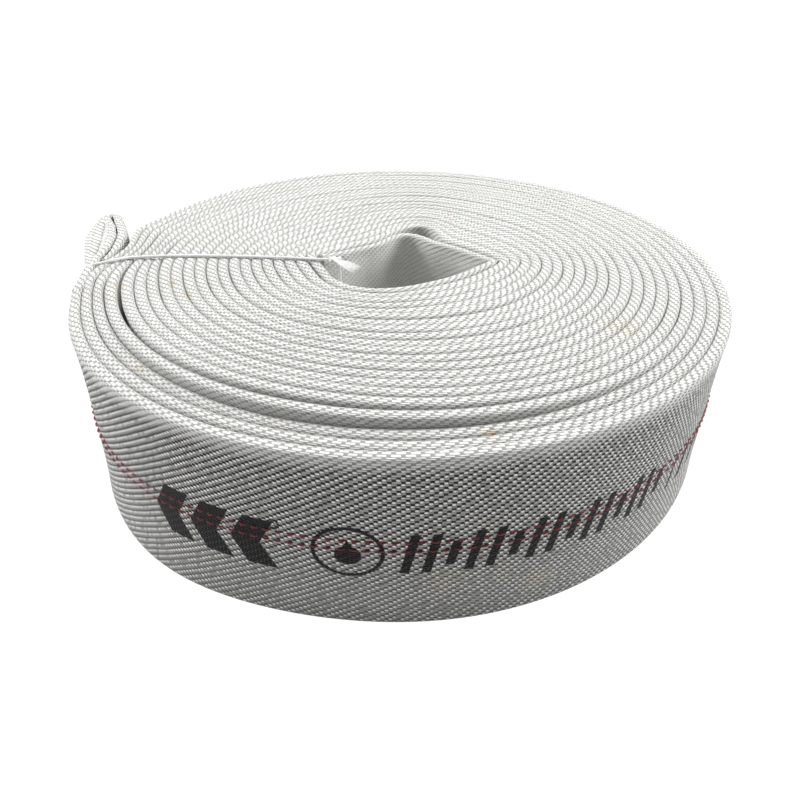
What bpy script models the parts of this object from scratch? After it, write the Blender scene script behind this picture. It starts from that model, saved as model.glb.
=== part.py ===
"""A layflat fire hose, rolled up flat and tied, lying on its side.

The hose is one long flattened tube that stands on its edge and winds outwards, clockwise seen from above,
from the cut end in the eye-shaped core. Its last turn leaves the roll at the left, folds back on itself
in a loop, and ends under the tie. The outer turns have slipped down onto the floor, the inner ones stand
a little higher. A thin cord goes round the wall of the roll once and is knotted at the core.
"""

import math

import bmesh
import bpy
from mathutils import Vector

# Driving dimensions, in metres.
ROLL_RADIUS = 0.250  # outside of the last turn
HOSE_WIDTH = 0.126  # the flat hose's width, which is the height of the roll's wall
TURNS = 21
TUBE_THICKNESS = 0.0078  # the flat jacket across both walls and the air between them
DRAWN_IN = 0.13  # how far the inward side stands from the tube's middle, in tube thicknesses
WALL = 0.0016  # one wall of the jacket
LINING_THICKNESS = 0.0012  # the lining lies flat, so this is both of its walls
LINING_MARGIN = 0.005  # the lining stops this short of the jacket's folded edges
TRACER_WIDTH = 0.0008
TRACER_HEIGHTS = {"tracer_yarn_upper": 0.0655, "tracer_yarn_lower": 0.0580}
CORD_RADIUS = 0.00125
CLEARANCE = 0.0003  # kept between solids that touch

# The shape of the roll in plan, in roll radii.
CORE_RADIUS = 0.252
TURN_PITCH = 0.03597
EVENED_ANGLE = math.radians(20)  # each turn steps outwards within this angle of the tie, and is round elsewhere
CORE_CENTRE = Vector((0.040, -0.044))

# The core is an eye shape: its walls pull in between two corners, rise to a peak at the back and belly out
# at the front left. From the second turn on there is one more bulge, which the first turn stands clear of.
EYE_DEPTH = 0.107
EYE_SQUARENESS = {"first": 0.255, "later": 0.40}  # smaller is squarer
CORNER_ROUNDING = 0.07  # the core's corners grow rounder with each turn
BACK_PEAK = (0.069, math.radians(95), math.radians(23))  # height, angle and half width
FRONT_BELLY = (0.113, math.radians(-129), math.radians(50))
SECOND_BULGE = (0.076, math.radians(78), math.radians(17))
SECOND_BULGE_TURNS = (0.45, 1.05)

# The inner turns are pushed up at the front left, most of all the ones inside the fourth turn from the outside.
INNER_LIFT = 0.009
CORE_LIFT_SHARE = 0.35
FULL_LIFT_TURN = 17.0
HALF_STEP = 0.0022
HALF_STEP_TURNS = (17.05, 17.45)
LOW_TURNS = (18.05, 18.45)  # the outer turns are down on the floor after this
LIFT_ANGLE = math.radians(-105)
LIFT_HALF_WIDTH = math.radians(48)
CORD_LIFT = 0.0044  # at the tie every turn rides over the cord beneath it
CORD_ANGLE = math.radians(-177)
CORD_LIFT_HALF_WIDTH = math.radians(26)

# The tie and the loop squeeze the outer turns together at the left.
PINCHES = (  # from this turn on, inwards by this much a turn, around this angle and within this half width
    (15.0, 0.0135, math.radians(179), math.radians(10)),
    (15.0, 0.0045, math.radians(160), math.radians(16)),
    (18.7, 0.0085, math.radians(-164), math.radians(14)),
)
PINCH_FLATTENING = 0.33
PINCH_ANGLE = math.radians(175)
PINCH_HALF_WIDTH = math.radians(24)
FLATTENED_TURNS = (13.0, 15.5)

# The outer turns stand off a little from the others at the left.
SLACK = 0.009
SLACK_ANGLE = math.radians(-165)
SLACK_HALF_WIDTH = math.radians(32)
SLACK_TURNS = (17.2, 17.5)

STATIONS_PER_TURN = 20

# The loop beyond the last turn: plan position in roll radii, and how far the tube opens up there.
LOOP_POINTS = (
    ((-0.976, -0.120), 0.95),
    ((-1.000, -0.045), 1.70),
    ((-1.018, 0.030), 2.60),
    ((-1.047, 0.125), 3.10),
    ((-1.078, 0.225), 2.40),
    ((-1.098, 0.285), 1.50),
    ((-1.104, 0.322), 1.00),
    ((-1.085, 0.338), 0.85),
    ((-1.068, 0.324), 0.85),
    ((-1.050, 0.288), 0.90),
    ((-1.020, 0.235), 0.95),
    ((-0.982, 0.150), 1.00),
    ((-0.961, 0.060), 0.90),
    ((-0.951, -0.020), 0.67),
    ((-0.952, -0.080), 0.60),
)

# The cord's route: tail, knot at the core, over the top, down the outside, underneath and up the core.
CORD_ROUTE = (
    (-0.0335, -0.0370, 0.1285),
    (-0.0420, -0.0285, 0.1310),
    (-0.0520, -0.0195, 0.1323),
    (-0.0640, -0.0155, 0.1323),
    (-0.1000, -0.0110, 0.1323),
    (-0.1700, -0.0085, 0.1323),
    (-0.2150, -0.0135, 0.1323),
    (-0.2320, -0.0230, 0.1323),
    (-0.2430, -0.0315, 0.1323),
    (-0.2476, -0.0345, 0.1320),
    (-0.2494, -0.0352, 0.1300),
    (-0.2497, -0.0352, 0.1200),
    (-0.2497, -0.0352, 0.0900),
    (-0.2497, -0.0352, 0.0350),
    (-0.2497, -0.0352, 0.0070),
    (-0.2490, -0.0350, 0.0034),
    (-0.2470, -0.0345, 0.0016),
    (-0.2380, -0.0330, 0.0016),
    (-0.1500, -0.0220, 0.0016),
    (-0.0650, -0.0160, 0.0016),
    (-0.0520, -0.0152, 0.0030),
    (-0.0480, -0.0150, 0.0100),
    (-0.0475, -0.0150, 0.0400),
    (-0.0475, -0.0150, 0.0900),
    (-0.0475, -0.0150, 0.1200),
    (-0.0480, -0.0150, 0.1300),
)
CORD_STEP = 0.0085

# The model's origin is at the middle of its footprint.
ORIGIN_SHIFT = Vector((0.0144, 0.0003, 0.0))


def bell(offset, half_width):
    """A smooth bump of height 1 at offset 0."""
    return math.exp(-((offset / half_width) ** 2))


def wrapped(angle):
    """The same angle between -pi and pi."""
    return math.atan2(math.sin(angle), math.cos(angle))


def eased(value, start, end):
    """0 before start, 1 after end, with a smooth change between them."""
    share = min(1.0, max(0.0, (value - start) / (end - start)))
    return share * share * (3 - 2 * share)


def bulge(angle, shape):
    """How far a bulge of the core reaches outwards at an angle."""
    height, middle, half_width = shape
    return height * bell(wrapped(angle - middle), half_width)


def eye_offset(angle, turn):
    """How far the core's eye shape moves a strand from its circle, in roll radii."""
    later = eased(turn, *SECOND_BULGE_TURNS)
    squareness = EYE_SQUARENESS["first"] * (1 - later) + EYE_SQUARENESS["later"] * later
    offset = bulge(angle, BACK_PEAK) + bulge(angle, FRONT_BELLY) + bulge(angle, SECOND_BULGE) * later
    rounding = (CORNER_ROUNDING * turn**0.75) ** 2
    corner = rounding ** (squareness / 2)
    pulled_in = (math.sin(angle) ** 2 + rounding) ** (squareness / 2) - corner
    offset -= EYE_DEPTH * pulled_in / ((1 + rounding) ** (squareness / 2) - corner)
    fade = ((TURNS - max(1.0, turn)) / (TURNS - 1)) ** 2
    return offset * fade


def roll_radius(angle, turn):
    """The strand's distance from its centre, in roll radii."""
    from_tie = wrapped(angle - math.pi)
    evened = (0.5 - turn % 1.0) * (1 - bell(from_tie, EVENED_ANGLE))
    radius = CORE_RADIUS + TURN_PITCH * (turn + evened) + eye_offset(angle, turn)
    radius += SLACK * bell(wrapped(angle - SLACK_ANGLE), SLACK_HALF_WIDTH) * eased(turn, *SLACK_TURNS)
    return radius - max(
        max(0.0, turn - first) * inwards * bell(wrapped(angle - middle), half_width)
        for first, inwards, middle, half_width in PINCHES
    )


def roll_lift(angle, turn):
    """How high the strand's lower edge is."""
    high = 1 - eased(turn, *LOW_TURNS)
    share = CORE_LIFT_SHARE + (1 - CORE_LIFT_SHARE) * min(1.0, turn / FULL_LIFT_TURN)
    pushed_up = INNER_LIFT * share - HALF_STEP * eased(turn, *HALF_STEP_TURNS)
    front = pushed_up * high * bell(wrapped(angle - LIFT_ANGLE), LIFT_HALF_WIDTH)
    return max(front, CORD_LIFT * bell(wrapped(angle - CORD_ANGLE), CORD_LIFT_HALF_WIDTH))


class Station:
    """One cross-section of the hose: its plan position, outward direction, lift and fullness."""

    def __init__(self, point, outward, lift, fullness):
        self.point = point
        self.outward = outward
        self.lift = lift
        self.fullness = fullness

    def at(self, across, height):
        """A point of the section: across is outwards from its middle, height is above its lower edge."""
        plan = self.point + self.outward * across
        return Vector((plan.x, plan.y, self.lift + height))


def spiral_station(turn):
    """The hose's section where it has wound this many turns."""
    angle = wrapped(math.pi - 2 * math.pi * turn)
    outward = Vector((math.cos(angle), math.sin(angle)))
    centre = CORE_CENTRE * (1 - turn / TURNS)
    at_tie = bell(wrapped(angle - PINCH_ANGLE), PINCH_HALF_WIDTH)
    return Station(
        (centre + outward * roll_radius(angle, turn)) * ROLL_RADIUS,
        outward,
        roll_lift(angle, turn),
        1 - PINCH_FLATTENING * at_tie * eased(turn, *FLATTENED_TURNS),
    )


def loop_stations(before):
    """The sections of the loop and the tail, each square to the run of the loop."""
    points = [before.point] + [Vector(point) * ROLL_RADIUS for point, _ in LOOP_POINTS]
    stations = []
    for number, (_, fullness) in enumerate(LOOP_POINTS, start=1):
        ahead = points[min(number + 1, len(points) - 1)]
        along = (ahead - points[number - 1]).normalized()
        stations.append(Station(points[number], Vector((-along.y, along.x)), CORD_LIFT, fullness))
    return stations


def hose_stations():
    """Every cross-section of the hose, from the cut end in the core to the cut end under the tie."""
    stations = [spiral_station(step / STATIONS_PER_TURN) for step in range(TURNS * STATIONS_PER_TURN)]
    return stations + loop_stations(stations[-1])


def jacket_outside(station):
    """The jacket's outer surface: flat on its outward side and drawn in along the middle of its inward side."""
    half = TUBE_THICKNESS / 2 * station.fullness
    drawn_in = TUBE_THICKNESS * DRAWN_IN * station.fullness
    return [
        station.at(-half, HOSE_WIDTH),
        station.at(-drawn_in, HOSE_WIDTH / 2),
        station.at(-half, 0),
        station.at(half, 0),
        station.at(half, HOSE_WIDTH),
    ]


def jacket_inside(station):
    """The jacket's inner surface, around the collapsed waterway."""
    wall = WALL * min(1.0, station.fullness)
    half = TUBE_THICKNESS / 2 * station.fullness - wall
    drawn_in = TUBE_THICKNESS * DRAWN_IN * station.fullness - wall
    edge = 2 * WALL
    return [
        station.at(-half, HOSE_WIDTH - edge),
        station.at(-drawn_in, HOSE_WIDTH / 2),
        station.at(-half, edge),
        station.at(half, edge),
        station.at(half, HOSE_WIDTH - edge),
    ]


def lining_section(station):
    """The lining, flat against the jacket's outward wall with a running gap."""
    squeezed = min(1.0, station.fullness)
    outer = TUBE_THICKNESS / 2 * station.fullness - WALL * squeezed - CLEARANCE
    inner = outer - LINING_THICKNESS * squeezed
    return [
        station.at(inner, HOSE_WIDTH - LINING_MARGIN),
        station.at(inner, LINING_MARGIN),
        station.at(outer, LINING_MARGIN),
        station.at(outer, HOSE_WIDTH - LINING_MARGIN),
    ]


def tracer_section(station, height):
    """A marker yarn on the jacket's outward face: a small ridge, flat where it meets the weave."""
    face = TUBE_THICKNESS / 2 * station.fullness + CLEARANCE
    return [
        station.at(face, height + TRACER_WIDTH / 2),
        station.at(face, height - TRACER_WIDTH / 2),
        station.at(face + TRACER_WIDTH / 2, height),
    ]


def bridge(mesh, first_ring, second_ring):
    """Quads between two rings that have the same number of corners."""
    count = len(first_ring)
    for corner in range(count):
        after = (corner + 1) % count
        mesh.faces.new((first_ring[corner], first_ring[after], second_ring[after], second_ring[corner]))


def lofted(name, material, sections, hollows=None):
    """A closed body through the sections; with hollows it is a tube that is open at both ends."""
    mesh = bmesh.new()
    rings = [[mesh.verts.new(corner) for corner in section] for section in sections]
    for ring, next_ring in zip(rings, rings[1:]):
        bridge(mesh, ring, next_ring)
    if hollows:
        inner = [[mesh.verts.new(corner) for corner in section] for section in hollows]
        for ring, next_ring in zip(inner, inner[1:]):
            bridge(mesh, next_ring, ring)
        bridge(mesh, inner[0], rings[0])
        bridge(mesh, rings[-1], inner[-1])
    else:
        mesh.faces.new(reversed(rings[0]))
        mesh.faces.new(rings[-1])
    bmesh.ops.recalc_face_normals(mesh, faces=mesh.faces)
    data = bpy.data.meshes.new(name)
    mesh.to_mesh(data)
    mesh.free()
    data.materials.append(material)
    return bpy.data.objects.new(name, data)


def smooth_route(points, step):
    """Points at about one step along a smooth curve through the route's own points."""
    points = [Vector(point) for point in points]
    padded = [2 * points[0] - points[1]] + points + [2 * points[-1] - points[-2]]
    route = []
    for before, start, end, after in zip(padded, padded[1:], padded[2:], padded[3:]):
        count = max(1, round((end - start).length / step))
        reach = (end - start).length
        leaving = (end - before) / ((end - before).length) * reach
        arriving = (after - start) / ((after - start).length) * reach
        for index in range(count):
            share = index / count
            square, cube = share**2, share**3
            route.append(
                start * (2 * cube - 3 * square + 1)
                + leaving * (cube - 2 * square + share)
                + end * (3 * square - 2 * cube)
                + arriving * (cube - square)
            )
    return route + [points[-1]]


def corded(name, material):
    """The tie cord, a round tube along its route."""
    curve = bpy.data.curves.new(name, "CURVE")
    curve.dimensions = "3D"
    curve.bevel_depth = CORD_RADIUS
    curve.bevel_resolution = 2
    curve.use_fill_caps = True
    route = smooth_route(CORD_ROUTE, CORD_STEP)
    spline = curve.splines.new("POLY")
    spline.points.add(len(route) - 1)
    for point, place in zip(spline.points, route):
        point.co = (*place, 1)
    curve.materials.append(material)
    return bpy.data.objects.new(name, curve)


def plastic_or_cloth(name, colour, roughness):
    """A Principled material with no metal in it."""
    material = bpy.data.materials.new(name)
    material.use_nodes = True
    shader = material.node_tree.nodes["Principled BSDF"]
    shader.inputs["Base Color"].default_value = (*colour, 1)
    shader.inputs["Roughness"].default_value = roughness
    shader.inputs["Metallic"].default_value = 0
    return material


def main():
    for old in list(bpy.data.objects):
        bpy.data.objects.remove(old)
    collection = bpy.data.collections.new("rolled_fire_hose")
    bpy.context.scene.collection.children.link(collection)

    stations = hose_stations()
    polyester = plastic_or_cloth("jacket_weave", (0.76, 0.76, 0.74), 0.85)
    rubber = plastic_or_cloth("lining_rubber", (0.62, 0.61, 0.56), 0.45)
    string = plastic_or_cloth("tie_string", (0.86, 0.86, 0.85), 0.75)
    pieces = [
        lofted(
            "hose_jacket",
            polyester,
            [jacket_outside(station) for station in stations],
            [jacket_inside(station) for station in stations],
        ),
        lofted("hose_lining", rubber, [lining_section(station) for station in stations]),
        corded("tie_cord", string),
    ]
    for name, height in TRACER_HEIGHTS.items():
        yarn = plastic_or_cloth(name, (0.36, 0.05, 0.06), 0.7)
        pieces.append(lofted(name, yarn, [tracer_section(station, height) for station in stations]))

    middle = bpy.data.objects.new("footprint_middle", None)
    middle.location = ORIGIN_SHIFT
    collection.objects.link(middle)
    for piece in pieces:
        piece.parent = middle
        collection.objects.link(piece)


main()
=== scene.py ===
"""The looks of a rolled, tied fire hose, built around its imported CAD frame."""

import math

import bmesh
import bpy
import numpy as np
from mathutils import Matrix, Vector, noise


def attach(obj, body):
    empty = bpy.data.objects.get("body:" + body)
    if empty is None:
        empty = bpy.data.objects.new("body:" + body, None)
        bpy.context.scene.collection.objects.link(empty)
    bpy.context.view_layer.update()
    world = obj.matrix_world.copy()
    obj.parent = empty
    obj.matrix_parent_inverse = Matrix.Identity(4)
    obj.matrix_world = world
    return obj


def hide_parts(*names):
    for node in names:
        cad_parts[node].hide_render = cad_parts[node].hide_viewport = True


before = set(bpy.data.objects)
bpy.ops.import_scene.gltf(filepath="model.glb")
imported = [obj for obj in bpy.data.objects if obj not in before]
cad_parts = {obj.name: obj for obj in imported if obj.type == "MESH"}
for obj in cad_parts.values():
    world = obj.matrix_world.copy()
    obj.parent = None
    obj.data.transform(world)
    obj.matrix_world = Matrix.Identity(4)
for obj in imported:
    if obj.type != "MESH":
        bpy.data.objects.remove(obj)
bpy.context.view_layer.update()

# The hose's path, as the CAD model has it: metres, and roll radii for the shape in plan.
ROLL_RADIUS = 0.250
HOSE_WIDTH = 0.126
TURNS = 21
TUBE_THICKNESS = 0.0078
THICKEST = 0.0112  # where the turns lie loosely

# The shape of the roll in plan, in roll radii.
CORE_RADIUS = 0.252
TURN_PITCH = 0.03597
EVENED_ANGLE = math.radians(20)  # each turn steps outwards within this angle of the tie
CORE_CENTRE = Vector((0.040, -0.044))

# The core is an eye shape: its walls pull in between two corners, rise to a peak at the back and belly out
# at the front left. From the second turn on there is one more bulge, which the first turn stands clear of.
EYE_DEPTH = 0.107
EYE_SQUARENESS = {"first": 0.255, "later": 0.40}  # smaller is squarer
CORNER_ROUNDING = 0.07  # the core's corners grow rounder with each turn
BACK_PEAK = (0.069, math.radians(95), math.radians(23))  # height, angle and half width
FRONT_BELLY = (0.113, math.radians(-129), math.radians(50))
SECOND_BULGE = (0.076, math.radians(78), math.radians(17))
SECOND_BULGE_TURNS = (0.45, 1.05)

# The inner turns are pushed up at the front left, most of all the ones inside the fourth turn from outside.
INNER_LIFT = 0.009
CORE_LIFT_SHARE = 0.35
FULL_LIFT_TURN = 17.0
HALF_STEP = 0.0022
HALF_STEP_TURNS = (17.05, 17.45)
LOW_TURNS = (18.05, 18.45)  # the outer turns are down on the floor after this
LIFT_ANGLE = math.radians(-105)
LIFT_HALF_WIDTH = math.radians(48)
CORD_LIFT = 0.0044  # at the tie every turn rides over the cord beneath it
CORD_ANGLE = math.radians(-177)
CORD_LIFT_HALF_WIDTH = math.radians(26)

# The tie and the loop squeeze the outer turns together at the left.
PINCHES = (  # from this turn on, inwards by this much a turn, around this angle and within this half width
    (15.0, 0.0135, math.radians(179), math.radians(10)),
    (15.0, 0.0045, math.radians(160), math.radians(16)),
    (18.7, 0.0085, math.radians(-164), math.radians(14)),
)

# The outer turns stand off a little from the others at the left.
SLACK = 0.009
SLACK_ANGLE = math.radians(-165)
SLACK_HALF_WIDTH = math.radians(32)
SLACK_TURNS = (17.2, 17.5)

# The loop beyond the last turn: plan position in roll radii, and how far the tube opens up there.
LOOP_POINTS = (
    ((-0.976, -0.120), 0.95),
    ((-1.000, -0.045), 1.70),
    ((-1.018, 0.030), 2.60),
    ((-1.047, 0.125), 3.10),
    ((-1.078, 0.225), 2.40),
    ((-1.098, 0.285), 1.50),
    ((-1.104, 0.322), 1.00),
    ((-1.085, 0.338), 0.85),
    ((-1.068, 0.324), 0.85),
    ((-1.050, 0.288), 0.90),
    ((-1.020, 0.235), 0.95),
    ((-0.982, 0.150), 1.00),
    ((-0.961, 0.060), 0.90),
    ((-0.951, -0.020), 0.67),
    ((-0.952, -0.080), 0.60),
)

# The cord's route from the knot at the core: over the top, down the outside, underneath and up the core.
CORD_ROUTE = (
    (-0.0475, -0.0215, 0.1312),
    (-0.0505, -0.0235, 0.1322),
    (-0.0560, -0.0240, 0.1320),
    (-0.0640, -0.0232, 0.1316),
    (-0.1000, -0.0195, 0.1317),
    (-0.1700, -0.0165, 0.1318),
    (-0.2150, -0.0200, 0.1316),
    (-0.2320, -0.0275, 0.1314),
    (-0.2400, -0.0315, 0.1308),
    (-0.2450, -0.0335, 0.1296),
    (-0.2480, -0.0345, 0.1270),
    (-0.2492, -0.0352, 0.1230),
    (-0.2494, -0.0352, 0.1100),
    (-0.2494, -0.0352, 0.0900),
    (-0.2496, -0.0352, 0.0350),
    (-0.2496, -0.0352, 0.0070),
    (-0.2488, -0.0350, 0.0034),
    (-0.2468, -0.0345, 0.0016),
    (-0.2380, -0.0330, 0.0016),
    (-0.1500, -0.0220, 0.0016),
    (-0.0650, -0.0160, 0.0016),
    (-0.0530, -0.0152, 0.0030),
    (-0.0500, -0.0150, 0.0100),
    (-0.0495, -0.0150, 0.0400),
    (-0.0495, -0.0150, 0.0900),
    (-0.0495, -0.0155, 0.1200),
    (-0.0490, -0.0175, 0.1300),
    (-0.0482, -0.0205, 0.1318),
)
ORIGIN_SHIFT = Vector((0.0144, 0.0003, 0.0))

# The hose's section: two rounded folded edges with the walls a little drawn in between them.
EDGE_RADIUS = 0.0042
EDGE_FLATNESS = 0.62  # how much lower than round the folded edges are
EDGE_SQUARENESS = 3.0  # 2 would be an ellipse
SIDE_GAP = 0.0001  # between neighbouring turns
OUTWARD_WAIST = 0.0006  # how far each wall is drawn in, and over what distance from the edges
INWARD_WAIST = 0.0024
WAIST_REACH = 0.016
LEAST_HALF_THICKNESS = 0.0009
LEAST_BORE = 0.0004
WALL = 0.0016  # of the jacket
LINING_WALL = 0.0006
LINING_GAP = 0.0001
MOUTH_DEPTH = 0.030  # how far the cut ends are open
LEAN_FADE = 0.05  # the wall stands upright again this far into the loop
GROOVE_DEPTH = 0.0034  # where the tube is opened up in the loop, its folded edge has a groove
GROOVE_WIDTH = 0.0026
GROOVE_FULLNESS = (1.25, 2.2)
SWAY = 0.0004  # small unevenness along the hose: sideways, in thickness and in height
SWELL = 0.03
RISE = 0.0010

# The outermost turn is a piece of its own, because its wall is what shows; the cut is under the tie.
OUTER_FROM_TURN = 19.9925
LAST_SPIRAL_TURN = TURNS - 1 / 20
STEP_ALONG = {"roll": 0.0055, "outer": 0.0040, "loop": 0.0025}
OUTERMOST_TURNS = (19.4, 19.9)
FOOT_LEAN = 0.0075  # the outermost wall stands out at its foot all round
FOOT_FLARE = 0.0085  # and more at the front left
FOOT_FLARE_ANGLE = math.radians(-128)
FOOT_FLARE_HALF_WIDTH = math.radians(20)

# The cloth: a 2/1 twill with its warp yarns along the hose.
WARPS_AROUND = 176
PICK = 0.00236
REPEAT_PICKS = 3
BEAD_LENGTH = 0.00115
BEAD_WIDTH = 0.0010
YARN_WANDER = 0.35  # how unevenly the yarns lie, in yarns and in picks
PICK_WANDER = 0.30
PICK_DRIFT = 0.5
FLOAT_MIDDLE = 0.40  # where in the repeat the float is highest
BEAD_AT = (0.60, 0.56)  # in the repeat and across the yarn
WEFT_HEIGHT = 0.20
BEAD_HEIGHT = 0.55
FUZZ_HEIGHT = 0.10
RELIEF = 0.00055
TOP_GAP_SHADE = 0.58  # how dark the painted shade in the gaps between the yarns is on the folded edges
INNER_GAP_SHADE = 0.20  # on the walls inside the roll, where the painted shade is weaker
OUTER_GAP_SHADE = 1.0  # and on the wall of the last turn, at full strength
FOOT_GAP_SHARE = 0.62  # how much of that painted shade is left near the foot, which is painted lighter there as bounce light from the floor
FOOT_REACH = (0.015, 0.075)
ROUND = 2 * (HOSE_WIDTH - 2 * EDGE_RADIUS) + 2 * math.pi * EDGE_RADIUS
TOP_EDGE = HOSE_WIDTH - 2 * EDGE_RADIUS + math.pi * EDGE_RADIUS  # its distance round the section
WARP = ROUND / WARPS_AROUND

# Scales of the noises that make the cloth uneven: the smaller the scale, the larger the patches.
DRIFT_SCALE = 60.0
WANDER_SCALE = 420.0
FUZZ_SCALE = 5200.0
SOIL_SCALE = 22.0
PATCH_SCALE = 500.0
INK_WOBBLE_SCALE = 900.0
FIBRE_SCALE = 2600.0
MOTTLE_SCALE = 240.0

# Colours.
EDGE_YARN = ((0.86, 0.86, 0.83), (0.72, 0.72, 0.69))
# Painted shade: the wall yarn is a darker copy of the edge yarn, because the walls get less light.
SHADED_WALL_YARN = ((0.45, 0.45, 0.43), (0.25, 0.25, 0.24))
# Painted highlight: the near-white colour of the beads, where the floats catch the light.
BEAD_HIGHLIGHT_COLOUR = (0.97, 0.97, 0.955)
# Painted shade in the gaps between the yarns.
GAP_SHADE_COLOUR = (0.022, 0.022, 0.021)
INK_COLOUR = (0.009, 0.009, 0.010)
SMUDGE_COLOUR = (0.70, 0.60, 0.42)
SPECK_COLOUR = (0.16, 0.11, 0.07)
LINING_COLOURS = ((0.52, 0.51, 0.46), (0.66, 0.65, 0.60))
STRING_COLOURS = ((0.97, 0.97, 0.96), (0.88, 0.88, 0.865))
TRACER_COLOURS = ((0.26, 0.020, 0.028), (0.13, 0.008, 0.013))
SMUDGE_SHADE = 0.75
SOIL_SHADE = 0.35
SPECK_SHADE = 0.8

# Faint cream smudges and a few specks on the top of the roll, by their place in plan, in metres.
SMUDGE_RADIUS = 0.006
SPECK_RADIUS = 0.0009
SMUDGES = (
    (-0.190, -0.085),
    (-0.195, -0.065),
    (-0.140, -0.170),
    (-0.140, -0.080),
    (-0.155, -0.060),
    (0.060, -0.230),
)
SPECKS = (
    (0.045, -0.210),
    (-0.165, -0.100),
    (-0.235, -0.025),
    (-0.075, -0.205),
    (0.145, -0.130),
)

# The marks printed on the wall: places are (right of the front, above the wall's middle), in metres.
INK_EDGE = 0.00035
INK_WOBBLE = 0.0006
BLOCKS = {"middle": -0.115, "pitch": 0.0275, "half": 0.0092, "span": 0.041, "height": 0.0178, "lean": 0.55}
DOT = {"place": (-0.069, 0.016), "radius": 0.0032, "line": 0.0005}
RING = {"place": (-0.0282, 0.0030), "radius": 0.0174, "line": 0.0011, "stretch": 1.10}
DROP = {"down": 0.0025, "radius": 0.0068, "tip": 0.0115, "slope": 0.52}
BARS = {"middle": 0.088, "up": 0.0025, "pitch": 0.0118, "half": 0.0027, "span": 0.0855, "lean": 0.22}
BAR_HEIGHTS = (0.0090, 0.0145)  # every third bar is short
FAR_BARS = {"middle": 0.226, "down": 0.003, "pitch": 0.018, "half": 0.0030, "span": 0.036, "lean": 0.25}
FAR_BAR_HEIGHT = 0.0125

# The marker yarns float over two picks and dive under the third.
TRACER_HEIGHTS = {"tracer_yarn_upper": 0.0685, "tracer_yarn_lower": 0.0617}
TRACER_PHASES = {"tracer_yarn_upper": 0.0, "tracer_yarn_lower": 1.5}  # in picks
TRACER_STEP = 0.0012
TRACER_RADIUS = 0.00058
TRACER_SIDES = 6
TRACER_WAVE = 1.5  # the height of the floats and how deep they lie, in yarn radii
TRACER_SUNK = 0.4
TRACER_CREST = 0.40
TRACER_DIP = 0.0042  # the yarns run lower at the left than at the front
TRACER_DIP_TURNS = (TURNS - 0.24, TURNS - 0.12)

# The tie: a string, with a small knot beside the core and a frayed tail.
STRING_RADIUS = 0.00125
STRING_STEP = 0.0010
STRING_LAY = 0.0075
STRING_STRANDS = 3
STRING_SIDES = 14
KNOT_SIDES = 12
FIBRE_SIDES = 6
STRING_HOLLOW = 0.18  # how deep the lay's grooves are, as a share of the radius
KNOT_PLACE = (-0.0535, -0.0262, 0.1325)
KNOT_REACH = 0.0024
KNOT_HEIGHT = 0.55
KNOT_POINTS = 72
KNOT_CLOSED = 0.97  # how much of its loop the knot goes round
TAIL_END = (-0.0325, -0.0450, 0.1316)
TAIL_FIBRES = 15
TAIL_POINTS = 9
TAIL_ROOT_HALF_WIDTH = 0.0009
TAIL_HALF_WIDTH = 0.0033
TAIL_RAGGED = 0.22  # how much shorter the shortest fibre is
TAIL_CURL = 0.0004
TAIL_RISE = 0.0007
TAIL_LAYER = 0.0003
FIBRE_RADIUS = 0.00042

# Studio.
WORLD_LIGHT = 0.27
FLOOR_BOUNCE = 0.95
LOOKS_WHITE = 1.05
FLOOR_SIZE = 60
FLOOR_LEVEL = -0.0002
LIGHTS = (  # name, place, what it points at, size and power
    ("overhead", (0.0, 0.45, 1.7), (0, 0, 0.1), (1.8, 1.4), 21),
    ("left", (-1.4, 0.35, 0.75), (0, 0, 0.05), (1.0, 0.9), 21.5),
    ("right", (1.4, 0.35, 0.75), (0, 0, 0.05), (1.0, 0.9), 23.5),
)

# The camera is close in front and looks down at the roll.
CAMERA_PLACE = (0.0142, -0.4548, 0.3154)
CAMERA_TILT = math.radians(53.154)
CAMERA_LENS = 25.79


# ---------------------------------------------------------------- path


def bell(offset, half_width):
    """A smooth bump of height 1 at offset 0."""
    return math.exp(-((offset / half_width) ** 2))


def wrapped(angle):
    """The same angle between -pi and pi."""
    return math.atan2(math.sin(angle), math.cos(angle))


def eased(value, start, end):
    """0 before start, 1 after end, with a smooth change between them."""
    share = min(1.0, max(0.0, (value - start) / (end - start)))
    return share * share * (3 - 2 * share)


def bulge(angle, shape):
    """How far a bulge of the core reaches outwards at an angle."""
    height, middle, half_width = shape
    return height * bell(wrapped(angle - middle), half_width)


def eye_offset(angle, turn):
    """How far the core's eye shape moves a strand from its circle, in roll radii."""
    later = eased(turn, *SECOND_BULGE_TURNS)
    squareness = EYE_SQUARENESS["first"] * (1 - later) + EYE_SQUARENESS["later"] * later
    offset = bulge(angle, BACK_PEAK) + bulge(angle, FRONT_BELLY) + bulge(angle, SECOND_BULGE) * later
    rounding = (CORNER_ROUNDING * turn**0.75) ** 2
    corner = rounding ** (squareness / 2)
    pulled_in = (math.sin(angle) ** 2 + rounding) ** (squareness / 2) - corner
    offset -= EYE_DEPTH * pulled_in / ((1 + rounding) ** (squareness / 2) - corner)
    fade = ((TURNS - max(1.0, turn)) / (TURNS - 1)) ** 2
    return offset * fade


def roll_radius(angle, turn):
    """The strand's distance from its centre, in roll radii."""
    from_tie = wrapped(angle - math.pi)
    evened = (0.5 - turn % 1.0) * (1 - bell(from_tie, EVENED_ANGLE))
    radius = CORE_RADIUS + TURN_PITCH * (turn + evened) + eye_offset(angle, turn)
    radius += SLACK * bell(wrapped(angle - SLACK_ANGLE), SLACK_HALF_WIDTH) * eased(turn, *SLACK_TURNS)
    return radius - max(
        max(0.0, turn - first) * inwards * bell(wrapped(angle - middle), half_width)
        for first, inwards, middle, half_width in PINCHES
    )


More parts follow.
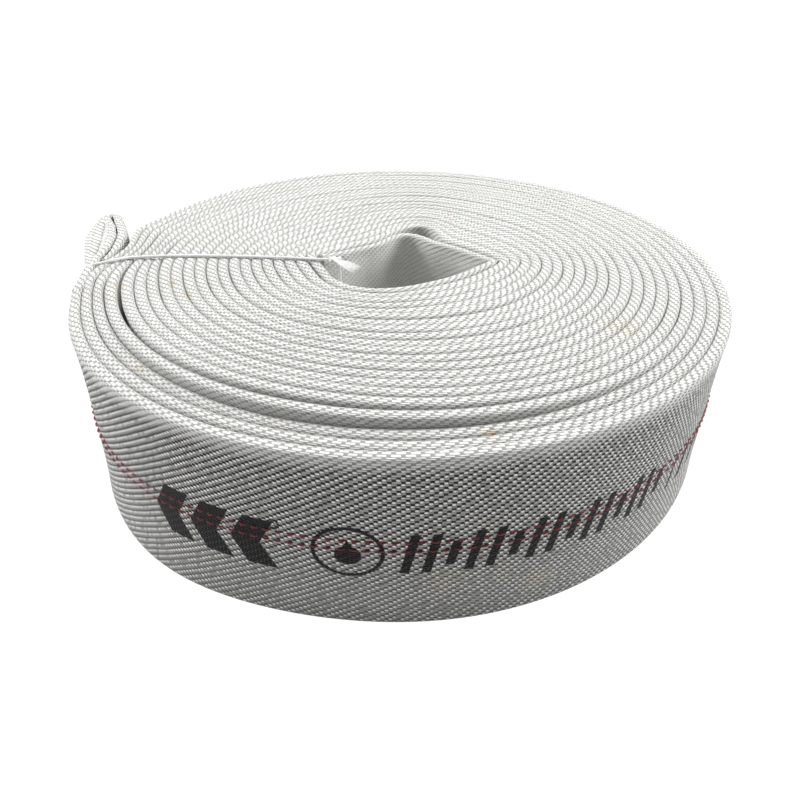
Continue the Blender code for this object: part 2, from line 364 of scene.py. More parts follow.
def roll_lift(angle, turn):
    """How high the strand's lower edge is."""
    high = 1 - eased(turn, *LOW_TURNS)
    share = CORE_LIFT_SHARE + (1 - CORE_LIFT_SHARE) * min(1.0, turn / FULL_LIFT_TURN)
    pushed_up = INNER_LIFT * share - HALF_STEP * eased(turn, *HALF_STEP_TURNS)
    front = pushed_up * high * bell(wrapped(angle - LIFT_ANGLE), LIFT_HALF_WIDTH)
    return max(front, CORD_LIFT * bell(wrapped(angle - CORD_ANGLE), CORD_LIFT_HALF_WIDTH))


class Station:
    """Where one section of the hose is: plan position, lift, fullness, turn, lean and flare of its foot."""

    def __init__(self, point, lift, fullness, turn, lean=0.0, flare=0.0):
        self.point = point
        self.lift = lift
        self.fullness = fullness
        self.turn = turn
        self.lean = lean
        self.flare = flare


def angle_at(turn):
    """The direction from the middle of the roll after this many turns."""
    return wrapped(math.pi - 2 * math.pi * turn)


def plan_point(turn):
    """Where the middle of the hose's section is in plan."""
    angle = angle_at(turn)
    outward = Vector((math.cos(angle), math.sin(angle)))
    centre = CORE_CENTRE * (1 - turn / TURNS)
    return (centre + outward * roll_radius(angle, turn)) * ROLL_RADIUS


def room(turn):
    """The distance from the turn inside this one, square to the hose."""
    step = 0.004
    here, there = plan_point(turn), plan_point(turn - 1)
    run = (plan_point(turn + step) - plan_point(turn - step)).normalized()
    return abs(Vector((-run.y, run.x)).dot(here - there))


def spiral_station(turn):
    """The hose's section where it has wound this many turns; it fills the room between its neighbours."""
    angle = angle_at(turn)
    inside = room(turn) if turn >= 1 else TUBE_THICKNESS
    outside = room(turn + 1) if turn < TURNS - 1 else inside
    thickness = min(inside, outside, THICKEST) - SIDE_GAP
    outermost = eased(turn, *OUTERMOST_TURNS)
    return Station(
        plan_point(turn),
        roll_lift(angle, turn),
        thickness / (2 * EDGE_RADIUS),
        turn,
        FOOT_LEAN * outermost,
        FOOT_FLARE * outermost * bell(wrapped(angle - FOOT_FLARE_ANGLE), FOOT_FLARE_HALF_WIDTH),
    )


def smooth_route(points, step):
    """Points at about one step along a smooth curve through the route's own points."""
    points = [Vector(point) for point in points]
    padded = [2 * points[0] - points[1]] + points + [2 * points[-1] - points[-2]]
    route = []
    for before, start, end, after in zip(padded, padded[1:], padded[2:], padded[3:]):
        reach = (end - start).length
        count = max(1, round(reach / step))
        leaving = (end - before) / ((end - before).length) * reach
        arriving = (after - start) / ((after - start).length) * reach
        for index in range(count):
            share = index / count
            square, cube = share**2, share**3
            route.append(
                start * (2 * cube - 3 * square + 1)
                + leaving * (cube - 2 * square + share)
                + end * (3 * square - 2 * cube)
                + arriving * (cube - square)
            )
    return route + [points[-1]]


def loop_stations(before, step):
    """The loop beyond the last turn and the tail under the tie, on a smooth curve."""
    knots = [before.point] + [Vector(point) * ROLL_RADIUS for point, _ in LOOP_POINTS]
    fullness = [before.fullness] + [full for _, full in LOOP_POINTS]
    reach = np.cumsum([0.0] + [(b - a).length for a, b in zip(knots, knots[1:])])
    route = smooth_route(knots, step)[1:]
    walked = np.cumsum([(b - a).length for a, b in zip([before.point] + route, route)])
    walked *= reach[-1] / walked[-1]
    return [
        Station(
            point,
            CORD_LIFT,
            float(np.interp(far, reach, fullness)),
            TURNS + far / 10,
            before.lean * (1 - eased(far, 0, LEAN_FADE)),
        )
        for point, far in zip(route, walked)
    ]


def strand(first_turn, last_turn, step):
    """Stations from one turn of the spiral to another, about one step apart."""
    stations = []
    turn = first_turn
    while turn < last_turn:
        stations.append(spiral_station(turn))
        turn += step / (2 * math.pi * (CORE_RADIUS + TURN_PITCH * turn) * ROLL_RADIUS)
    return stations + [spiral_station(last_turn)]


# ---------------------------------------------------------------- the hose's mesh


def outline_template(cap_points, side_points):
    """One section's points as (side, height share, cap angle, distance round), from the lower edge's tip.

    A cap point has an angle; a side point has the share of the height between the two caps.
    """
    points = []
    straight = HOSE_WIDTH - 2 * EDGE_RADIUS
    quarter = math.pi / 2 * EDGE_RADIUS
    for number in range(cap_points):
        share = number / cap_points
        points.append(("bottom", -math.pi / 2 * (1 - share), share * quarter))
    for number in range(side_points):
        share = number / side_points
        points.append(("outward", share, quarter + share * straight))
    for number in range(2 * cap_points):
        share = number / (2 * cap_points)
        points.append(("top", math.pi * share, quarter + straight + 2 * share * quarter))
    for number in range(side_points):
        share = number / side_points
        points.append(("inward", 1 - share, 3 * quarter + straight + share * straight))
    for number in range(cap_points):
        share = number / cap_points
        points.append(("bottom", math.pi * (1 + share / 2), 3 * quarter + 2 * straight + share * quarter))
    return points


def rounded(cosine):
    """The same cosine or sine on a superellipse, which is squarer than a circle."""
    return math.copysign(abs(cosine) ** (2 / EDGE_SQUARENESS), cosine)


def section(station, template, far, shrink=0.0):
    """The section's points as (outward, height) from its foot, shrunk evenly for an inner surface."""
    radius = EDGE_RADIUS * EDGE_FLATNESS - shrink / 2
    half = max(LEAST_HALF_THICKNESS, EDGE_RADIUS * station.fullness - shrink)
    slim = min(1.0, station.fullness)
    waist = {"outward": OUTWARD_WAIST * slim, "inward": INWARD_WAIST * slim}
    if shrink:
        waist["inward"] = max(0.0, min(waist["inward"], 2 * half - waist["outward"] - LEAST_BORE))
    height = HOSE_WIDTH - 2 * shrink
    opened = eased(station.fullness, *GROOVE_FULLNESS) * GROOVE_DEPTH
    sway = SWAY * noise.noise(Vector((far * 9, station.turn * 0.7, 3.1)))
    swell = 1 - SWELL * abs(noise.noise(Vector((far * 14, station.turn * 0.9, 8.7))))
    rise = RISE * noise.noise(Vector((far * 5, station.turn * 1.3, 5.2)))
    points = []
    for kind, value, _ in template:
        if kind in waist:
            gap = min(value, 1 - value) * (height - 2 * radius)
            inset = waist[kind] * eased(gap, 0, WAIST_REACH)
            across = (half * swell - inset) * (1 if kind == "outward" else -1)
            up = radius + value * (height - 2 * radius)
        else:
            across = half * swell * rounded(math.cos(value))
            up = radius + radius * rounded(math.sin(value)) + (height - 2 * radius) * (kind == "top")
            if kind == "top":
                up -= opened * bell(across, GROOVE_WIDTH)
        up += shrink
        share = up / HOSE_WIDTH
        points.append((across + sway * share + lean_at(station, share), up + rise * share))
    return points


def lean_at(station, share):
    """How far a point of the section leans outwards, from its share of the hose's height."""
    down = max(0.0, 1 - share)
    return station.lean * down**1.2 + station.flare * down**1.6


def frames_along(points):
    """The outward direction at each point of a path in plan."""
    ahead = points[1:] + [2 * points[-1] - points[-2]]
    behind = [2 * points[0] - points[1]] + points[:-1]
    runs = [(b - a).normalized() for a, b in zip(behind, ahead)]
    return [Vector((-run.y, run.x)) for run in runs]


class Strand:
    """Part of the hose: its stations, their outward directions and how far along the hose each one is."""

    def __init__(self, stations, start):
        self.stations = stations
        points = [station.point for station in stations]
        self.outward = frames_along(points)
        steps = [(b - a).length for a, b in zip(points, points[1:])]
        self.far = list(np.cumsum([start] + steps))

    def ring(self, number, template, shrink=0.0):
        """The world places of one section's points."""
        station = self.stations[number]
        outward = self.outward[number]
        places = []
        for across, up in section(station, template, self.far[number], shrink):
            plan = station.point + outward * across
            places.append(Vector((plan.x, plan.y, station.lift + up)) + ORIGIN_SHIFT)
        return places

    def place(self, number, across, up):
        """The world place of one point beside a station."""
        station = self.stations[number]
        plan = station.point + self.outward[number] * (across + lean_at(station, up / HOSE_WIDTH))
        return Vector((plan.x, plan.y, station.lift + up)) + ORIGIN_SHIFT


def tube_mesh(name, rings, rounds, fars, material, open_start=None, open_end=None):
    """A closed tube through rings of points, with a UV map in metres: along the hose and round it.

    open_start and open_end are rings that go back into the tube from that end, to make an open mouth.
    """
    rings = list(rings)
    fars = list(fars)
    if open_start:
        rings = open_start[::-1] + rings
        fars = [fars[0]] * len(open_start) + fars
    if open_end:
        rings = rings + open_end
        fars = fars + [fars[-1]] * len(open_end)
    count = len(rounds)
    places = np.array([tuple(place) for ring in rings for place in ring])
    base = np.arange(len(rings) - 1)[:, None] * count
    corner = np.arange(count)[None, :]
    after = (corner + 1) % count
    quads = np.stack([base + corner, base + after, base + count + after, base + count + corner], axis=2)
    quads = quads.reshape(-1, 4)
    caps = [tuple(range(count))[::-1], tuple(range((len(rings) - 1) * count, len(rings) * count))]
    mesh = bpy.data.meshes.new(name)
    mesh.from_pydata(places.tolist(), [], quads.tolist() + caps)
    mesh.update()
    layer = mesh.uv_layers.new(name="cloth")
    round_at = np.array(list(rounds) + [ROUND])
    far_at = np.array(fars)
    along = np.repeat(np.arange(len(rings) - 1), count)
    around = np.tile(np.arange(count), len(rings) - 1)
    us = np.stack([far_at[along], far_at[along], far_at[along + 1], far_at[along + 1]], axis=1)
    vs = np.stack([round_at[around], round_at[around + 1], round_at[around + 1], round_at[around]], axis=1)
    uv = np.stack([us.ravel(), vs.ravel()], axis=1)
    cap_uv = np.array([(0.0, 0.0)] * (2 * count))
    layer.data.foreach_set("uv", np.concatenate([uv, cap_uv]).ravel())
    mesh.materials.append(material)
    mesh.shade_smooth()
    mesh.set_sharp_from_angle(angle=math.radians(60))
    body = bpy.data.objects.new(name, mesh)
    bpy.context.scene.collection.objects.link(body)
    flip_if_inside_out(body)
    return body


def flip_if_inside_out(body):
    """Turns a closed body's faces outwards."""
    mesh = bmesh.new()
    mesh.from_mesh(body.data)
    if mesh.calc_volume(signed=True) < 0:
        bmesh.ops.reverse_faces(mesh, faces=mesh.faces)
        mesh.to_mesh(body.data)
    mesh.free()


def mouth_rings(strand_, template, at_end):
    """Rings that go back into the hose from its cut end, along the inside of the jacket's wall."""
    order = range(len(strand_.stations))
    numbers = list(reversed(order)) if at_end else list(order)
    first = strand_.far[numbers[0]]
    return [
        strand_.ring(number, template, WALL)
        for number in numbers
        if abs(strand_.far[number] - first) <= MOUTH_DEPTH
    ]


def lining_mesh(name, ends, template, material):
    """The lining where it shows, in the hose's two open mouths."""
    mesh = bmesh.new()
    for strand_, at_end in ends:
        order = list(range(len(strand_.stations)))
        if at_end:
            order.reverse()
        first = strand_.far[order[0]]
        order = [number for number in order if abs(strand_.far[number] - first) <= MOUTH_DEPTH * 0.9]
        outer = [strand_.ring(number, template, WALL + LINING_GAP) for number in order]
        inner = [strand_.ring(number, template, WALL + LINING_GAP + LINING_WALL) for number in order]
        rings = outer[::-1] + inner
        made = [[mesh.verts.new(place) for place in ring] for ring in rings]
        made.append(made[0])
        count = len(template)
        for ring, after in zip(made, made[1:]):
            for corner in range(count):
                beside = (corner + 1) % count
                mesh.faces.new((ring[corner], ring[beside], after[beside], after[corner]))
    bmesh.ops.recalc_face_normals(mesh, faces=mesh.faces)
    data = bpy.data.meshes.new(name)
    mesh.to_mesh(data)
    mesh.free()
    data.materials.append(material)
    data.shade_smooth()
    data.set_sharp_from_angle(angle=math.radians(50))
    body = bpy.data.objects.new(name, data)
    bpy.context.scene.collection.objects.link(body)
    return body


# ---------------------------------------------------------------- thin yarns and cords


def swept(name, path, section_at, material, sides):
    """A closed tube along a path; section_at(number, angle) gives its radius there."""
    path = [Vector(point) for point in path]
    runs = []
    for number, point in enumerate(path):
        ahead = path[min(number + 1, len(path) - 1)]
        behind = path[max(number - 1, 0)]
        runs.append((ahead - behind).normalized())
    side = runs[0].orthogonal().normalized()
    mesh = bmesh.new()
    rings = []
    for number, (point, run) in enumerate(zip(path, runs)):
        side = (side - run * side.dot(run)).normalized()
        other = run.cross(side)
        ring = []
        for corner in range(sides):
            angle = 2 * math.pi * corner / sides
            radius = section_at(number, angle)
            ring.append(mesh.verts.new(point + (side * math.cos(angle) + other * math.sin(angle)) * radius))
        rings.append(ring)
    for ring, after in zip(rings, rings[1:]):
        for corner in range(sides):
            beside = (corner + 1) % sides
            mesh.faces.new((ring[corner], ring[beside], after[beside], after[corner]))
    mesh.faces.new(rings[0][::-1])
    mesh.faces.new(rings[-1])
    bmesh.ops.recalc_face_normals(mesh, faces=mesh.faces)
    data = bpy.data.meshes.new(name)
    mesh.to_mesh(data)
    mesh.free()
    data.materials.append(material)
    data.shade_smooth()
    body = bpy.data.objects.new(name, data)
    bpy.context.scene.collection.objects.link(body)
    return body


# ---------------------------------------------------------------- materials


class Field:
    """A number that a material works out at each point of a surface, as Math nodes."""

    def __init__(self, tree, socket):
        self.tree = tree
        self.socket = socket

    def math(self, operation, *others):
        node = self.tree.nodes.new("ShaderNodeMath")
        node.operation = operation
        for place, value in zip(node.inputs, (self, *others)):
            if isinstance(value, Field):
                self.tree.links.new(value.socket, place)
            else:
                place.default_value = value
        return Field(self.tree, node.outputs[0])

    def __add__(self, other):
        return self.math("ADD", other)

    def __sub__(self, other):
        return self.math("SUBTRACT", other)

    def __mul__(self, other):
        return self.math("MULTIPLY", other)

    def __truediv__(self, other):
        return self.math("DIVIDE", other)

    __radd__ = __add__
    __rmul__ = __mul__

    def floor(self):
        return self.math("FLOOR")

    def fraction(self):
        return self.math("FRACT")

    def size(self):
        return self.math("ABSOLUTE")

    def lower(self, other):
        return self.math("MINIMUM", other)

    def higher(self, other):
        return self.math("MAXIMUM", other)

    def root(self):
        return self.math("SQRT")

    def ramp(self, start, end, low=0.0, high=1.0):
        """low where the field is below start, high above end, smooth between; start may exceed end."""
        node = self.tree.nodes.new("ShaderNodeMapRange")
        node.interpolation_type = "SMOOTHSTEP"
        self.tree.links.new(self.socket, node.inputs["Value"])
        if start > end:
            start, end, low, high = end, start, high, low
        node.inputs["From Min"].default_value = start
        node.inputs["From Max"].default_value = end
        node.inputs["To Min"].default_value = low
        node.inputs["To Max"].default_value = high
        return Field(self.tree, node.outputs["Result"])


def new_material(name, roughness):
    material = bpy.data.materials.new(name)
    material.use_nodes = True
    shader = material.node_tree.nodes["Principled BSDF"]
    shader.inputs["Roughness"].default_value = roughness
    return material, material.node_tree, shader


def mixed(tree, share, first, second):
    """A colour between first and second, each a colour or a socket."""
    node = tree.nodes.new("ShaderNodeMix")
    node.data_type = "RGBA"
    node.clamp_factor = True
    factor, first_place, second_place = node.inputs["Factor"], node.inputs[6], node.inputs[7]
    tree.links.new(share.socket, factor)
    for place, value in ((first_place, first), (second_place, second)):
        if isinstance(value, tuple):
            place.default_value = (*value, 1)
        else:
            tree.links.new(value, place)
    return node.outputs[2]


def noise_field(tree, vector, scale, detail=2.0, roughness=0.5):
    node = tree.nodes.new("ShaderNodeTexNoise")
    node.inputs["Scale"].default_value = scale
    node.inputs["Detail"].default_value = detail
    node.inputs["Roughness"].default_value = roughness
    tree.links.new(vector, node.inputs["Vector"])
    return Field(tree, node.outputs["Fac"])


def combined(tree, *fields):
    """A vector socket from two or three fields."""
    node = tree.nodes.new("ShaderNodeCombineXYZ")
    for field, place in zip(fields, node.inputs):
        tree.links.new(field.socket, place)
    return node.outputs[0]


def speckle(tree, *fields):
    """A random number for each whole value of the fields."""
    node = tree.nodes.new("ShaderNodeTexWhiteNoise")
    node.noise_dimensions = "3D"
    tree.links.new(combined(tree, *fields), node.inputs["Vector"])
    return Field(tree, node.outputs["Value"])


def bump(tree, shader, height, distance, strength=1.0):
    node = tree.nodes.new("ShaderNodeBump")
    node.inputs["Strength"].default_value = strength
    node.inputs["Distance"].default_value = distance
    tree.links.new(height.socket, node.inputs["Height"])
    tree.links.new(node.outputs["Normal"], shader.inputs["Normal"])


def cloth_coordinates(tree):
    """The distance along the hose and round it, in metres."""
    uv = tree.nodes.new("ShaderNodeUVMap")
    uv.uv_map = "cloth"
    split = tree.nodes.new("ShaderNodeSeparateXYZ")
    tree.links.new(uv.outputs[0], split.inputs[0])
    return Field(tree, split.outputs["X"]), Field(tree, split.outputs["Y"]), uv.outputs[0]


def spots(tree, position, places, radius):
    """1 at the middle of each spot in plan and 0 past its radius."""
    split = tree.nodes.new("ShaderNodeSeparateXYZ")
    tree.links.new(position, split.inputs[0])
    x, y = Field(tree, split.outputs["X"]), Field(tree, split.outputs["Y"])
    found = None
    for place_x, place_y in places:
        east, north = x - place_x, y - place_y
        spot = (east * east + north * north).root().ramp(radius, radius * 0.3)
        found = spot if found is None else found.higher(spot)
    return found


def weave_heights(tree, along, round_, flat, place):
    """How high the cloth stands, where its raised beads with their painted highlight are, and a random
    number for each float.
    """
    drift = noise_field(tree, place, DRIFT_SCALE)
    jitter = noise_field(tree, flat, WANDER_SCALE, 2.0)
    yarn = round_ / WARP + (jitter - 0.5) * YARN_WANDER
    lane = yarn.floor()
    across = (yarn.fraction() - 0.5).size() * 2.0
    picks = along / PICK + lane + drift * PICK_DRIFT + (jitter - 0.5) * PICK_WANDER
    repeat = (picks / REPEAT_PICKS).fraction()
    own = speckle(tree, lane, (picks / REPEAT_PICKS).floor())

    # A warp yarn floats over two picks and dives under the third.
    lift = ((repeat - FLOAT_MIDDLE).size() * 2.0).ramp(0.80, 0.52)
    crown = (1.0 + across * across * -1.0).higher(0.0).root()
    # It stands up most where it comes out of the cloth; there it is a raised bead with a painted highlight.
    bead_along = (repeat - BEAD_AT[0]) * (REPEAT_PICKS * PICK / BEAD_LENGTH)
    bead_across = (yarn.fraction() - BEAD_AT[1]) * (WARP / BEAD_WIDTH)
    bead_and_highlight = (bead_along * bead_along + bead_across * bead_across).root().ramp(1.25, 0.45)
    bead_and_highlight = bead_and_highlight * own.ramp(-0.2, 0.7)
    # The weft yarn lies deeper, between the warp yarns.
    weft = ((picks.fraction() - 0.5).size() * 2.0).ramp(1.0, 0.1) * WEFT_HEIGHT
    return (crown * lift).higher(weft) + bead_and_highlight * BEAD_HEIGHT, bead_and_highlight, own


def soiled(tree, colour, place):
    """The yarns' colour with smudges, specks and a general faint yellowing here and there."""
    patchy = noise_field(tree, place, PATCH_SCALE, 3.0).ramp(0.35, 0.6)
    smudge = spots(tree, place, SMUDGES, SMUDGE_RADIUS) * patchy * SMUDGE_SHADE
    soil = noise_field(tree, place, SOIL_SCALE, 4.0).ramp(0.62, 0.80) * SOIL_SHADE
    stained = mixed(tree, smudge.higher(soil), colour, SMUDGE_COLOUR)
    speck = spots(tree, place, SPECKS, SPECK_RADIUS) * SPECK_SHADE
    return mixed(tree, speck, stained, SPECK_COLOUR)


def weave_material(name, wall_painted_shade, front=None):
    """The jacket's cloth.

    The second argument is painted shade on its walls: how dark their gaps are and how much of the darker
    wall yarn shows. front is how far along the hose the middle of the printing is.
    """
    material, tree, shader = new_material(name, 0.82)
    along, round_, flat = cloth_coordinates(tree)
    place = tree.nodes.new("ShaderNodeNewGeometry").outputs["Position"]
    height, bead_and_highlight, own = weave_heights(tree, along, round_, flat, place)

    wall = (round_ - TOP_EDGE).size().ramp(0.004, 0.016)
    # Painted bounce light: near the foot the walls are lighter, with less gap shade and a lighter yarn
    # tone.
    foot = round_.ramp(*FOOT_REACH, FOOT_GAP_SHARE, 1.0)
    # Painted shade in the gaps between the yarns, darkest where the cloth is lowest.
    gap = (TOP_GAP_SHADE + wall * (wall_painted_shade - TOP_GAP_SHADE)) * height.ramp(0.55, 0.18) * foot

    on_edge = mixed(tree, own * 0.7, *EDGE_YARN)
    # Painted shade: the walls take the darker copy of the yarn.
    on_wall = mixed(tree, own * 0.8 * foot, *SHADED_WALL_YARN)
    # Painted highlight: the beads are painted near white.
    on_wall = mixed(tree, bead_and_highlight.ramp(0.15, 0.7), on_wall, BEAD_HIGHLIGHT_COLOUR)
    # How much of the darker wall yarn shows is painted shade, set for each cloth.
    yarns = soiled(tree, mixed(tree, wall * wall_painted_shade, on_edge, on_wall), place)
    # Paints the gaps' shade.
    colour = mixed(tree, gap, yarns, GAP_SHADE_COLOUR)
    if front is not None:
        soaked = printed(tree, along, round_, front) * height.ramp(0.02, 0.15)
        colour = mixed(tree, soaked, colour, INK_COLOUR)
    tree.links.new(colour, shader.inputs["Base Color"])
    fuzz = noise_field(tree, flat, FUZZ_SCALE, 1.0)
    bump(tree, shader, height + fuzz * FUZZ_HEIGHT, RELIEF)
    shader.inputs["Specular IOR Level"].default_value = 0.25
    shader.inputs["Sheen Weight"].default_value = 0.08
    shader.inputs["Sheen Roughness"].default_value = 0.4
    return material


def filled(distance):
    """1 inside a shape and 0 outside, from a distance that is negative inside."""
    return distance.ramp(INK_EDGE, -INK_EDGE)


def length(right, up):
    """The distance from the origin."""
    return (right * right + up * up).root()


def within_pitch(row, pitch):
    """The distance from the nearest multiple of the pitch."""
    return ((row / pitch + 0.5).fraction() - 0.5).size() * pitch


def arrow_blocks(right, up):
    """Arrow-shaped blocks side by side."""
    row = right - BLOCKS["middle"] + up.size() * -BLOCKS["lean"]
    stripe = within_pitch(row, BLOCKS["pitch"]) - BLOCKS["half"]
    return stripe.higher(row.size() - BLOCKS["span"]).higher(up.size() - BLOCKS["height"])


def ring_with_drop(right, up):
    """An oval ring and the drop in it, as two distances."""
    place_right, place_up = RING["place"]
    right, up = (right - place_right) / RING["stretch"], up - place_up
    ring = (length(right, up) - RING["radius"]).size() - RING["line"]
    up = up + DROP["down"]
    tip = right.size() - (DROP["tip"] + up * -1.0) * DROP["slope"]
    tip = tip.higher(up * -1.0).higher(up - DROP["tip"])
    return ring, (length(right, up) - DROP["radius"]).lower(tip)


def slanted_bars(right, up):
    """A row of slanted bars, every third one short, and a coarser row past it."""
    raised = up - BARS["up"]
    row = right - BARS["middle"] + raised * -BARS["lean"]
    number = (row / BARS["pitch"] + 0.5).floor()
    tall = ((number / 3.0).fraction() - 0.34).size().ramp(0.05, 0.2, *BAR_HEIGHTS)
    near = (within_pitch(row, BARS["pitch"]) - BARS["half"]).higher(raised.size() - tall)
    near = near.higher(row.size() - BARS["span"])
    row = right - FAR_BARS["middle"] + up * -FAR_BARS["lean"]
    far = within_pitch(row, FAR_BARS["pitch"]) - FAR_BARS["half"]
    far = far.higher((up + FAR_BARS["down"]).size() - FAR_BAR_HEIGHT)
    return near, far.higher(row.size() - FAR_BARS["span"])


def printed(tree, along, round_, front):
    """Where ink is: all the marks together. Each mark is a distance that is negative inside it."""
    right = along * -1.0 + front
    right = right + noise_field(tree, combined(tree, along, round_), INK_WOBBLE_SCALE) * INK_WOBBLE
    up = round_ - (HOSE_WIDTH - 2 * EDGE_RADIUS) / 2
    dot_right, dot_up = DOT["place"]
    dot = (length(right - dot_right, up - dot_up) - DOT["radius"]).size() - DOT["line"]
    ink = filled(arrow_blocks(right, up)).higher(filled(dot))
    for mark in (*ring_with_drop(right, up), *slanted_bars(right, up)):
        ink = ink.higher(filled(mark))
    return ink


def lining_material():
    material, tree, shader = new_material("lining_rubber", 0.5)
    place = tree.nodes.new("ShaderNodeNewGeometry").outputs["Position"]
    mottle = noise_field(tree, place, MOTTLE_SCALE, 3.0)
    tree.links.new(mixed(tree, mottle, *LINING_COLOURS), shader.inputs["Base Color"])
    bump(tree, shader, noise_field(tree, place, 1500.0), 0.0001)
    return material


def yarn_material(name, light, dark):
    """A spun yarn: two tones and fine fibres."""
    material, tree, shader = new_material(name, 0.75)
    place = tree.nodes.new("ShaderNodeNewGeometry").outputs["Position"]
    fibres = noise_field(tree, place, FIBRE_SCALE, 3.0)
    tree.links.new(mixed(tree, fibres.ramp(0.35, 0.65), dark, light), shader.inputs["Base Color"])
    bump(tree, shader, fibres, 0.0002)
    shader.inputs["Sheen Weight"].default_value = 0.15
    return material


# ---------------------------------------------------------------- pieces

def joined(name, parts):
    """Several bodies made into one object."""
    mesh = bmesh.new()
    for part in parts:
        mesh.from_mesh(part.data)
    data = bpy.data.meshes.new(name)
    mesh.to_mesh(data)
    mesh.free()
    data.materials.append(parts[0].data.materials[0])
    data.shade_smooth()
    for part in parts:
        bpy.data.objects.remove(part)
    body = bpy.data.objects.new(name, data)
    bpy.context.scene.collection.objects.link(body)
    return body


def distance_at(strand_, angle_degrees):
    """How far along the hose its last turn passes an angle."""
    turn = TURNS - 1 + (180 - angle_degrees) / 360
    turns = [station.turn for station in strand_.stations]
    return float(np.interp(turn, turns, strand_.far))


def tracer_path(strand_, height, phase):
    """A marker yarn that floats over two picks and dives under the third, on the outward wall."""
    path = []
    lane = round((height - EDGE_RADIUS + math.pi / 2 * EDGE_RADIUS) / WARP)
    for number, far in enumerate(strand_.far):
        wave = ((far / PICK + lane + phase) / REPEAT_PICKS) % 1.0
        crest = math.cos(2 * math.pi * (wave - TRACER_CREST))
        above = TRACER_RADIUS * (TRACER_WAVE * crest - TRACER_SUNK)
        station = strand_.stations[number]
        face = EDGE_RADIUS * station.fullness - OUTWARD_WAIST * min(1.0, station.fullness)
        dip = TRACER_DIP * eased(station.turn, *TRACER_DIP_TURNS)
        path.append(strand_.place(number, face + above, height - dip))
    return path


def outer_turn(step, loop_step):
    """The stations of the last turn and of the loop it ends in."""
    stations = strand(OUTER_FROM_TURN, LAST_SPIRAL_TURN, step)
    return stations + loop_stations(stations[-1], loop_step)


def knot_path():
    """A thumb knot pulled small, where the string's two ends meet beside the core."""
    path = []
    for number in range(KNOT_POINTS + 1):
        turn = 2 * math.pi * number / KNOT_POINTS * KNOT_CLOSED
        reach = KNOT_REACH * (2 + math.cos(3 * turn)) / 3
        up = KNOT_HEIGHT * KNOT_REACH * math.sin(3 * turn)
        offset = Vector((reach * math.cos(2 * turn), reach * math.sin(2 * turn), up))
        path.append(Vector(KNOT_PLACE) + ORIGIN_SHIFT + offset)
    return path


def tail_paths():
    """The frayed end of the string: fibres that fan out flat over the core's corner."""
    run = Vector(TAIL_END) - Vector(KNOT_PLACE)
    aside = Vector((-run.y, run.x, 0.0)).normalized()
    paths = []
    for number in range(TAIL_FIBRES):
        share = 2 * number / (TAIL_FIBRES - 1) - 1
        length_share = 1.0 - TAIL_RAGGED * (number * 5 % 7) / 6
        path = []
        for point in range(TAIL_POINTS):
            along = point / (TAIL_POINTS - 1) * length_share
            spread = share * (TAIL_ROOT_HALF_WIDTH + TAIL_HALF_WIDTH * eased(along, 0.0, 0.65))
            curl = TAIL_CURL * math.sin(5 * along + 2.1 * number)
            rise = TAIL_RISE * math.sin(math.pi * along) + TAIL_LAYER * (number % 3)
            place = Vector(KNOT_PLACE) + run * along + aside * (spread + curl) + Vector((0, 0, rise))
            path.append(place + ORIGIN_SHIFT)
        paths.append(path)
    return paths


def make_hose(roll, outer, template_fine, template_coarse):
    """The jacket: the roll, and its last turn with the loop, which has the printing."""
    # The two cloths differ in painted shade only: weaker inside the roll, full on the last turn's wall.
    roll_cloth = weave_material("jacket_weave_roll", INNER_GAP_SHADE)
    wall_cloth = weave_material("jacket_weave_wall", OUTER_GAP_SHADE, distance_at(outer, -90))
    for name, part, template, cloth, at_start in (
        ("hose_roll", roll, template_coarse, roll_cloth, True),
        ("hose_last_turn", outer, template_fine, wall_cloth, False),
    ):
        rings = [part.ring(number, template) for number in range(len(part.stations))]
        mouth = mouth_rings(part, template, not at_start)
        body = tube_mesh(
            name,
            rings,
            [point[2] for point in template],
            part.far,
            cloth,
            open_start=mouth if at_start else None,
            open_end=None if at_start else mouth,
        )
        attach(body, "root")
        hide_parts("hose_jacket")


def make_mouths(roll, outer, template):
    """The lining, where it shows at the hose's two cut ends."""
    ends = ((roll, False), (outer, True))
    mouths = lining_mesh("hose_lining_mouths", ends, template, lining_material())
    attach(mouths, "root")
    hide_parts("hose_lining")


def make_tracers(start):
    """The marker yarns' stitches, along the last turn and the loop."""
    red = yarn_material("tracer_red", *TRACER_COLOURS)
    strand_ = Strand(outer_turn(TRACER_STEP, TRACER_STEP), start)
    for name, height in TRACER_HEIGHTS.items():
        path = tracer_path(strand_, height, TRACER_PHASES[name])
        stitches = name.replace("yarn", "stitches")
        stitches = swept(stitches, path, lambda number, angle: TRACER_RADIUS, red, TRACER_SIDES)
        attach(stitches, "root")
        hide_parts(name)


def twisted(number, angle):
    """The radius of the three-strand string at a point of its section."""
    lay = 2 * math.pi / STRING_LAY * STRING_STEP  # how far the strands turn from one ring to the next
    crown = abs(math.cos(STRING_STRANDS / 2 * (angle - number * lay)))
    return STRING_RADIUS * (1 - STRING_HOLLOW + STRING_HOLLOW * crown)


def make_tie():
    """The string round the roll, and its knot with the frayed tail."""
    string = yarn_material("tie_string", *STRING_COLOURS)
    route = [point + ORIGIN_SHIFT for point in smooth_route(CORD_ROUTE, STRING_STEP)]
    cord = swept("tie_string_cord", route, twisted, string, STRING_SIDES)
    cord_length = sum((b - a).length for a, b in zip(route, route[1:]))
    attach(cord, "root")
    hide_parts("tie_cord")
    [tuple(point) for point in route[::3]] + [tuple(route[-1])]
    print("cord length", cord_length)

    parts = [swept("knot", knot_path(), twisted, string, KNOT_SIDES)]
    for path in tail_paths():
        parts.append(swept("fibre", path, lambda number, angle: FIBRE_RADIUS, string, FIBRE_SIDES))
    tail = joined("tie_string_knot", parts)
    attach(tail, "root")
    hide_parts("tie_cord")


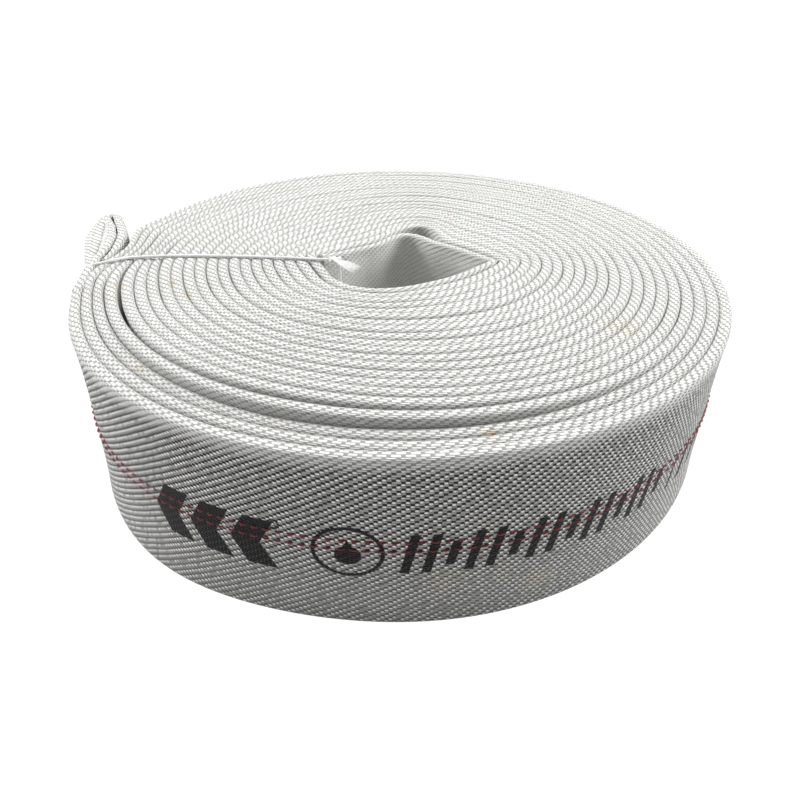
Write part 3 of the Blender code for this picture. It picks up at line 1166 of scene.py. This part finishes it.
def build():
    roll = Strand(strand(0.0, OUTER_FROM_TURN, STEP_ALONG["roll"]), 0.0)
    outer = Strand(outer_turn(STEP_ALONG["outer"], STEP_ALONG["loop"]), roll.far[-1])
    print("hose length", outer.far[-1])
    coarse = outline_template(4, 3)
    fine = outline_template(5, 12)
    make_hose(roll, outer, fine, coarse)
    make_mouths(roll, outer, coarse)
    make_tracers(roll.far[-1])
    make_tie()


# ---------------------------------------------------------------- studio


def area_light(name, place, target, size, power):
    data = bpy.data.lights.new(name, "AREA")
    data.shape = "RECTANGLE"
    data.size, data.size_y = size
    data.energy = power
    lamp = bpy.data.objects.new(name, data)
    lamp.location = place
    lamp.rotation_euler = (Vector(target) - Vector(place)).to_track_quat("-Z", "Y").to_euler()
    bpy.context.scene.collection.objects.link(lamp)


def white_floor():
    """A floor that looks pure white, as a lit sweep does, but throws little light back."""
    material, tree, shader = new_material("floor", 0.9)
    shader.inputs["Base Color"].default_value = (FLOOR_BOUNCE, FLOOR_BOUNCE, FLOOR_BOUNCE, 1)
    shader.inputs["Specular IOR Level"].default_value = 0.0
    glow = tree.nodes.new("ShaderNodeEmission")
    glow.inputs["Strength"].default_value = LOOKS_WHITE
    path = tree.nodes.new("ShaderNodeLightPath")
    mix = tree.nodes.new("ShaderNodeMixShader")
    tree.links.new(path.outputs["Is Camera Ray"], mix.inputs[0])
    tree.links.new(shader.outputs[0], mix.inputs[1])
    tree.links.new(glow.outputs[0], mix.inputs[2])
    tree.links.new(mix.outputs[0], tree.nodes["Material Output"].inputs["Surface"])
    return material


def white_room():
    """A dim even light from all round that looks pure white."""
    world = bpy.data.worlds.new("studio")
    world.use_nodes = True
    tree = world.node_tree
    background = tree.nodes["Background"]
    background.inputs["Color"].default_value = (1, 1, 1, 1)
    path = tree.nodes.new("ShaderNodeLightPath")
    strength = tree.nodes.new("ShaderNodeMapRange")
    strength.inputs["To Min"].default_value = WORLD_LIGHT
    strength.inputs["To Max"].default_value = LOOKS_WHITE
    tree.links.new(path.outputs["Is Camera Ray"], strength.inputs["Value"])
    tree.links.new(strength.outputs["Result"], background.inputs["Strength"])
    return world


def studio():
    scene = bpy.context.scene
    scene.view_settings.view_transform = "Standard"
    bpy.ops.mesh.primitive_plane_add(size=FLOOR_SIZE, location=(0, 0, FLOOR_LEVEL))
    floor = bpy.context.object
    floor.name = "floor"
    floor.data.materials.append(white_floor())

    scene.world = white_room()
    for light in LIGHTS:
        area_light(*light)

    data = bpy.data.cameras.new("camera")
    data.sensor_width = 36
    data.lens = CAMERA_LENS
    camera = bpy.data.objects.new("camera", data)
    camera.location = CAMERA_PLACE
    camera.rotation_euler = (CAMERA_TILT, 0, 0)
    scene.collection.objects.link(camera)
    scene.camera = camera


studio()
build()
